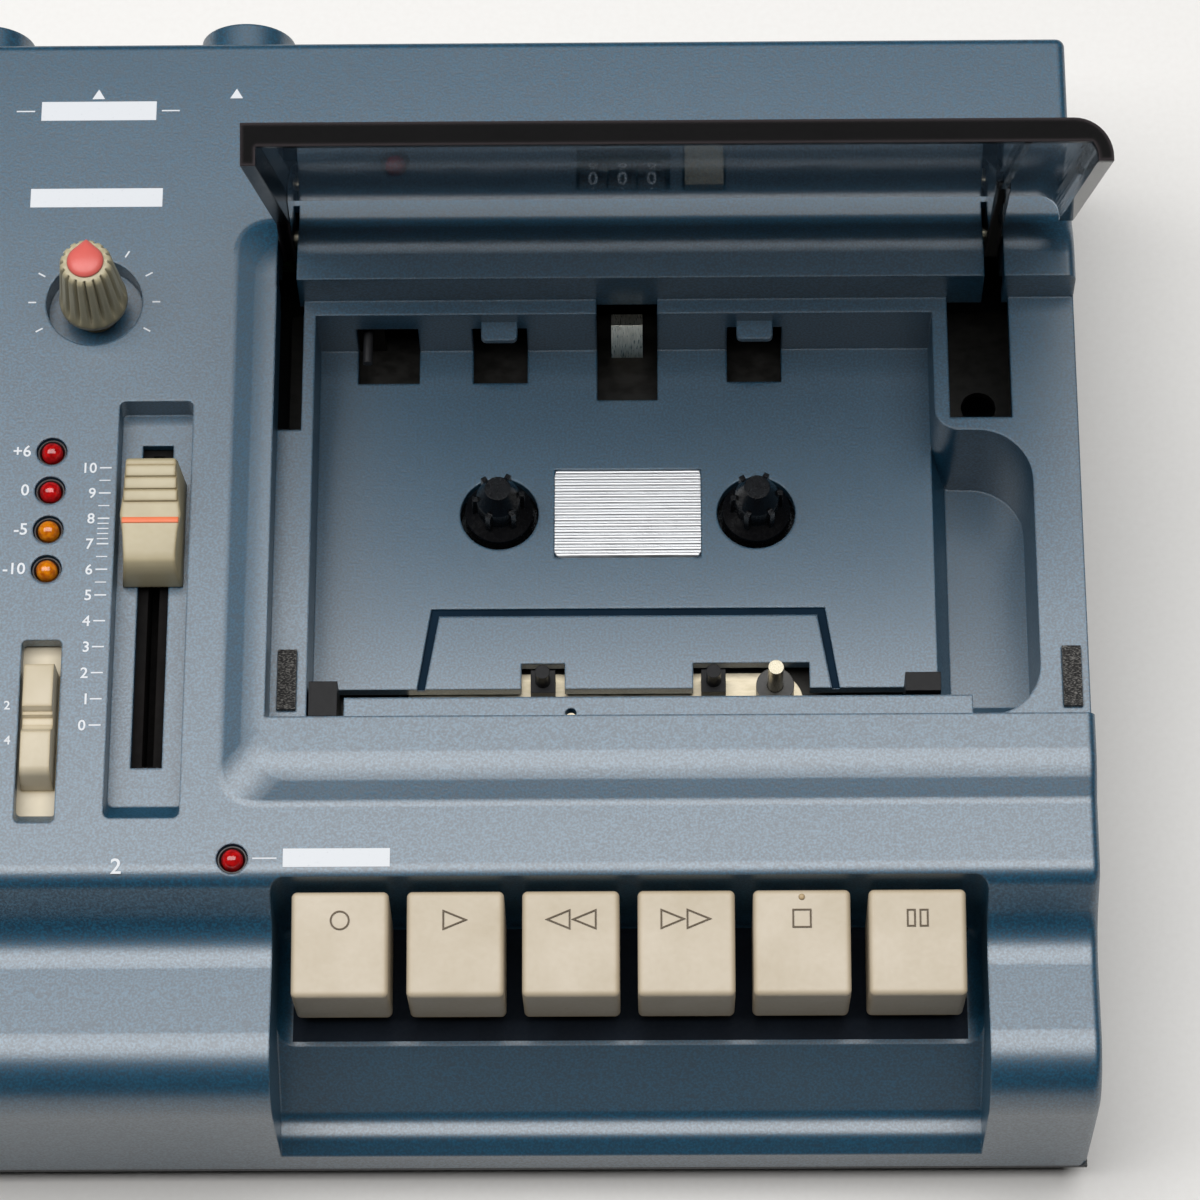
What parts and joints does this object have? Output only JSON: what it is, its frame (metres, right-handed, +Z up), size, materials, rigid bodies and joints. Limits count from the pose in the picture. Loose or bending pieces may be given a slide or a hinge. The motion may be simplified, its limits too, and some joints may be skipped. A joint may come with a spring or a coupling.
{
  "type": "four track cassette recorder",
  "caption": "Desktop cassette recorder with a small mixer: hinged lid over a tape well, a row of piano keys, faders, slide switches, knobs, lamps and rear sockets.",
  "frame": {"origin": "centre of the overall footprint, on the table under the feet", "axes": "+X to the right along the front, +Y towards the rear sockets, +Z up"},
  "size_m": [0.296, 0.1896, 0.1337],
  "materials": {
    "case_paint": "metallic blue grey paint, satin",
    "base_plastic": "black moulded",
    "foot_rubber": "matt",
    "screw_steel": "black zinc",
    "smoked_lid": "clear smoked",
    "pin_steel": "ground",
    "felt": "wool felt",
    "chassis_steel": "zinc plated",
    "reflector": "ribbed foil",
    "spindle_plastic": "black moulded",
    "flywheel_iron": "turned",
    "bush_black": "blackened",
    "motor_can": "plated can",
    "pulley_brass": "turned",
    "belt_rubber": "matt",
    "head_metal": "lapped",
    "guide_plastic": "black moulded",
    "spring_steel": "bright",
    "feeler_plastic": "white nylon",
    "key_plastic": "cream moulded",
    "fader_plastic": "cream moulded",
    "knob_plastic": "olive beige moulded",
    "body_plastic": "black moulded",
    "phono_plate": "nickel plated",
    "red_lens": "tinted lens",
    "amber_lens": "tinted lens",
    "board_laminate": "laminate",
    "wheel_plastic": "black with pale figures",
    "button_plastic": "cream moulded"
  },
  "bodies": {
    "case": {"amber_lamps": "amber_lens", "bottom_case": "base_plastic", "capstan_bush": "bush_black", "case_screws": "screw_steel", "cassette_guides": "guide_plastic", "cassette_spring": "spring_steel", "chassis_plate": "chassis_steel", "counter_frame": "body_plastic", "drive_belt": "belt_rubber", "fader_bodies": "body_plastic", "felt_pads": "felt", "key_pivot_rod": "pin_steel", "lid_hinge_pins": "pin_steel", "main_board": "board_laminate", "motor": "motor_can", "phono_sockets": "phono_plate", "potentiometers": "body_plastic", "power_inlet": "body_plastic", "quarter_inch_jacks": "body_plastic", "red_lamps": "red_lens", "reflector_plate": "reflector", "rubber_feet": "foot_rubber", "socket_panel": "case_paint", "switch_bodies": "body_plastic", "top_case": "case_paint"},
    "lid": {"lid": "smoked_lid"},
    "head_slide": {"head_plate": "chassis_steel", "record_play_head": "head_metal", "erase_head": "head_metal"},
    "pinch_arm": {"pinch_arm": "chassis_steel"},
    "pinch_roller": {"pinch_roller": "belt_rubber"},
    "capstan": {"flywheel": "flywheel_iron", "capstan_shaft": "pin_steel"},
    "motor_pulley": {"motor_pulley": "pulley_brass"},
    "left_spindle": {"left_spindle": "spindle_plastic"},
    "right_spindle": {"right_spindle": "spindle_plastic"},
    "protect_feeler": {"protect_feeler": "feeler_plastic"},
    "counter_wheels": {"counter_wheels": "wheel_plastic"},
    "counter_reset": {"counter_reset_button": "button_plastic"},
    "record_key": {"record_key": "key_plastic"},
    "play_key": {"play_key": "key_plastic"},
    "rewind_key": {"rewind_key": "key_plastic"},
    "forward_key": {"forward_key": "key_plastic"},
    "stop_key": {"stop_key": "key_plastic"},
    "pause_key": {"pause_key": "key_plastic"},
    "input_1_fader": {"input_1_fader": "fader_plastic"},
    "input_1_switch": {"input_1_switch": "fader_plastic"},
    "input_2_fader": {"input_2_fader": "fader_plastic"},
    "input_2_switch": {"input_2_switch": "fader_plastic"},
    "input_1_trim_knob": {"input_1_trim_knob": "knob_plastic"},
    "input_2_trim_knob": {"input_2_trim_knob": "knob_plastic"},
    "phones_level_knob": {"phones_level_knob": "knob_plastic"},
    "track_1_level_knob": {"track_1_level_knob": "knob_plastic"},
    "track_1_pan_knob": {"track_1_pan_knob": "knob_plastic"},
    "track_2_level_knob": {"track_2_level_knob": "knob_plastic"},
    "track_2_pan_knob": {"track_2_pan_knob": "knob_plastic"},
    "track_3_level_knob": {"track_3_level_knob": "knob_plastic"},
    "track_3_pan_knob": {"track_3_pan_knob": "knob_plastic"},
    "track_4_level_knob": {"track_4_level_knob": "knob_plastic"},
    "track_4_pan_knob": {"track_4_pan_knob": "knob_plastic"}
  },
  "joints": [
    {"name": "lid_hinge", "type": "hinge", "parent": "case", "child": "lid", "pos_m": [0.074, 0.05375, 0.0483], "axis": [1, 0, 0], "range_deg": [0, 68.5]},
    {"name": "record_press", "type": "hinge", "parent": "case", "child": "record_key", "pos_m": [0.02865, -0.05075, 0.036], "axis": [1, 0, 0], "range_deg": [0, 10], "stiffness_Nm_per_rad": 0.15, "springref_deg": -3.44},
    {"name": "play_press", "type": "hinge", "parent": "case", "child": "play_key", "pos_m": [0.04679, -0.05075, 0.036], "axis": [1, 0, 0], "range_deg": [0, 10], "stiffness_Nm_per_rad": 0.15, "springref_deg": -3.44},
    {"name": "rewind_press", "type": "hinge", "parent": "case", "child": "rewind_key", "pos_m": [0.06493, -0.05075, 0.036], "axis": [1, 0, 0], "range_deg": [0, 10], "stiffness_Nm_per_rad": 0.15, "springref_deg": -3.44},
    {"name": "forward_press", "type": "hinge", "parent": "case", "child": "forward_key", "pos_m": [0.08307, -0.05075, 0.036], "axis": [1, 0, 0], "range_deg": [0, 10], "stiffness_Nm_per_rad": 0.15, "springref_deg": -3.44},
    {"name": "stop_press", "type": "hinge", "parent": "case", "child": "stop_key", "pos_m": [0.10121, -0.05075, 0.036], "axis": [1, 0, 0], "range_deg": [0, 10], "stiffness_Nm_per_rad": 0.15, "springref_deg": -3.44},
    {"name": "pause_press", "type": "hinge", "parent": "case", "child": "pause_key", "pos_m": [0.11935, -0.05075, 0.036], "axis": [1, 0, 0], "range_deg": [0, 10], "stiffness_Nm_per_rad": 0.15, "springref_deg": -3.44},
    {"name": "input_1_fader_slide", "type": "slide", "parent": "case", "child": "input_1_fader", "axis": [0, 1, 0], "range_m": [-0.035, 0.01]},
    {"name": "input_1_switch_slide", "type": "slide", "parent": "case", "child": "input_1_switch", "axis": [0, 1, 0], "range_m": [-0.004, 0.004]},
    {"name": "input_2_fader_slide", "type": "slide", "parent": "case", "child": "input_2_fader", "axis": [0, 1, 0], "range_m": [-0.035, 0.01]},
    {"name": "input_2_switch_slide", "type": "slide", "parent": "case", "child": "input_2_switch", "axis": [0, 1, 0], "range_m": [-0.004, 0.004]},
    {"name": "input_2_trim_turn", "type": "hinge", "parent": "case", "child": "input_2_trim_knob", "pos_m": [-0.0138, 0.03985, 0.053], "axis": [0, 0, 1], "range_deg": [-150, 150]},
    {"name": "input_1_trim_turn", "type": "hinge", "parent": "case", "child": "input_1_trim_knob", "pos_m": [-0.0584, 0.03985, 0.053], "axis": [0, 0, 1], "range_deg": [-150, 150]},
    {"name": "track_1_pan_turn", "type": "hinge", "parent": "case", "child": "track_1_pan_knob", "pos_m": [-0.1315, 0.03985, 0.053], "axis": [0, 0, 1], "range_deg": [-150, 150]},
    {"name": "track_1_level_turn", "type": "hinge", "parent": "case", "child": "track_1_level_knob", "pos_m": [-0.1315, 0.00925, 0.053], "axis": [0, 0, 1], "range_deg": [-150, 150]},
    {"name": "track_2_pan_turn", "type": "hinge", "parent": "case", "child": "track_2_pan_knob", "pos_m": [-0.1151, 0.03985, 0.053], "axis": [0, 0, 1], "range_deg": [-150, 150]},
    {"name": "track_2_level_turn", "type": "hinge", "parent": "case", "child": "track_2_level_knob", "pos_m": [-0.1151, 0.00925, 0.053], "axis": [0, 0, 1], "range_deg": [-150, 150]},
    {"name": "track_3_pan_turn", "type": "hinge", "parent": "case", "child": "track_3_pan_knob", "pos_m": [-0.0987, 0.03985, 0.053], "axis": [0, 0, 1], "range_deg": [-150, 150]},
    {"name": "track_3_level_turn", "type": "hinge", "parent": "case", "child": "track_3_level_knob", "pos_m": [-0.0987, 0.00925, 0.053], "axis": [0, 0, 1], "range_deg": [-150, 150]},
    {"name": "track_4_pan_turn", "type": "hinge", "parent": "case", "child": "track_4_pan_knob", "pos_m": [-0.0823, 0.03985, 0.053], "axis": [0, 0, 1], "range_deg": [-150, 150]},
    {"name": "track_4_level_turn", "type": "hinge", "parent": "case", "child": "track_4_level_knob", "pos_m": [-0.0823, 0.00925, 0.053], "axis": [0, 0, 1], "range_deg": [-150, 150]},
    {"name": "phones_level_turn", "type": "hinge", "parent": "case", "child": "phones_level_knob", "pos_m": [-0.1069, -0.02475, 0.053], "axis": [0, 0, 1], "range_deg": [-150, 150]},
    {"name": "left_spindle_spin", "type": "hinge", "parent": "case", "child": "left_spindle", "pos_m": [0.05275, 0.00925, 0.035], "axis": [0, 0, 1], "continuous": true},
    {"name": "right_spindle_spin", "type": "hinge", "parent": "case", "child": "right_spindle", "pos_m": [0.09525, 0.00925, 0.035], "axis": [0, 0, 1], "continuous": true},
    {"name": "capstan_spin", "type": "hinge", "parent": "case", "child": "capstan", "pos_m": [0.0979, -0.02265, 0.019], "axis": [0, 0, 1], "continuous": true},
    {"name": "motor_spin", "type": "hinge", "parent": "case", "child": "motor_pulley", "pos_m": [0.114, 0.03225, 0.0205], "axis": [0, 0, 1], "continuous": true},
    {"name": "head_slide", "type": "slide", "parent": "case", "child": "head_slide", "axis": [0, 1, 0], "range_m": [0, 0.004]},
    {"name": "pinch_arm_swing", "type": "hinge", "parent": "case", "child": "pinch_arm", "pos_m": [0.114, -0.03625, 0.032], "axis": [0, 0, 1], "range_deg": [-18, 0]},
    {"name": "pinch_roller_spin", "type": "hinge", "parent": "pinch_arm", "child": "pinch_roller", "pos_m": [0.0986, -0.03495, 0.0373], "axis": [0, 0, 1], "continuous": true},
    {"name": "protect_feeler_push", "type": "slide", "parent": "case", "child": "protect_feeler", "axis": [0, 1, 0], "range_m": [0, 0.002], "stiffness_N_per_m": 30, "springref_m": -0.0005},
    {"name": "counter_spin", "type": "hinge", "parent": "case", "child": "counter_wheels", "pos_m": [0.0735, 0.06665, 0.045], "axis": [1, 0, 0], "continuous": true},
    {"name": "counter_reset_press", "type": "slide", "parent": "case", "child": "counter_reset", "axis": [0, 0, -1], "range_m": [0, 0.0015], "stiffness_N_per_m": 60, "springref_m": -0.001}
  ],
  "couplings": [
    {"joint": "motor_spin", "follows": "capstan_spin", "ratio": 6.5714},
    {"joint": "play_press", "follows": "head_slide", "rad_per_m": 43.63},
    {"joint": "pinch_arm_swing", "follows": "head_slide", "rad_per_m": -78.5},
    {"joint": "counter_spin", "follows": "right_spindle_spin", "ratio": 0.1}
  ]
}
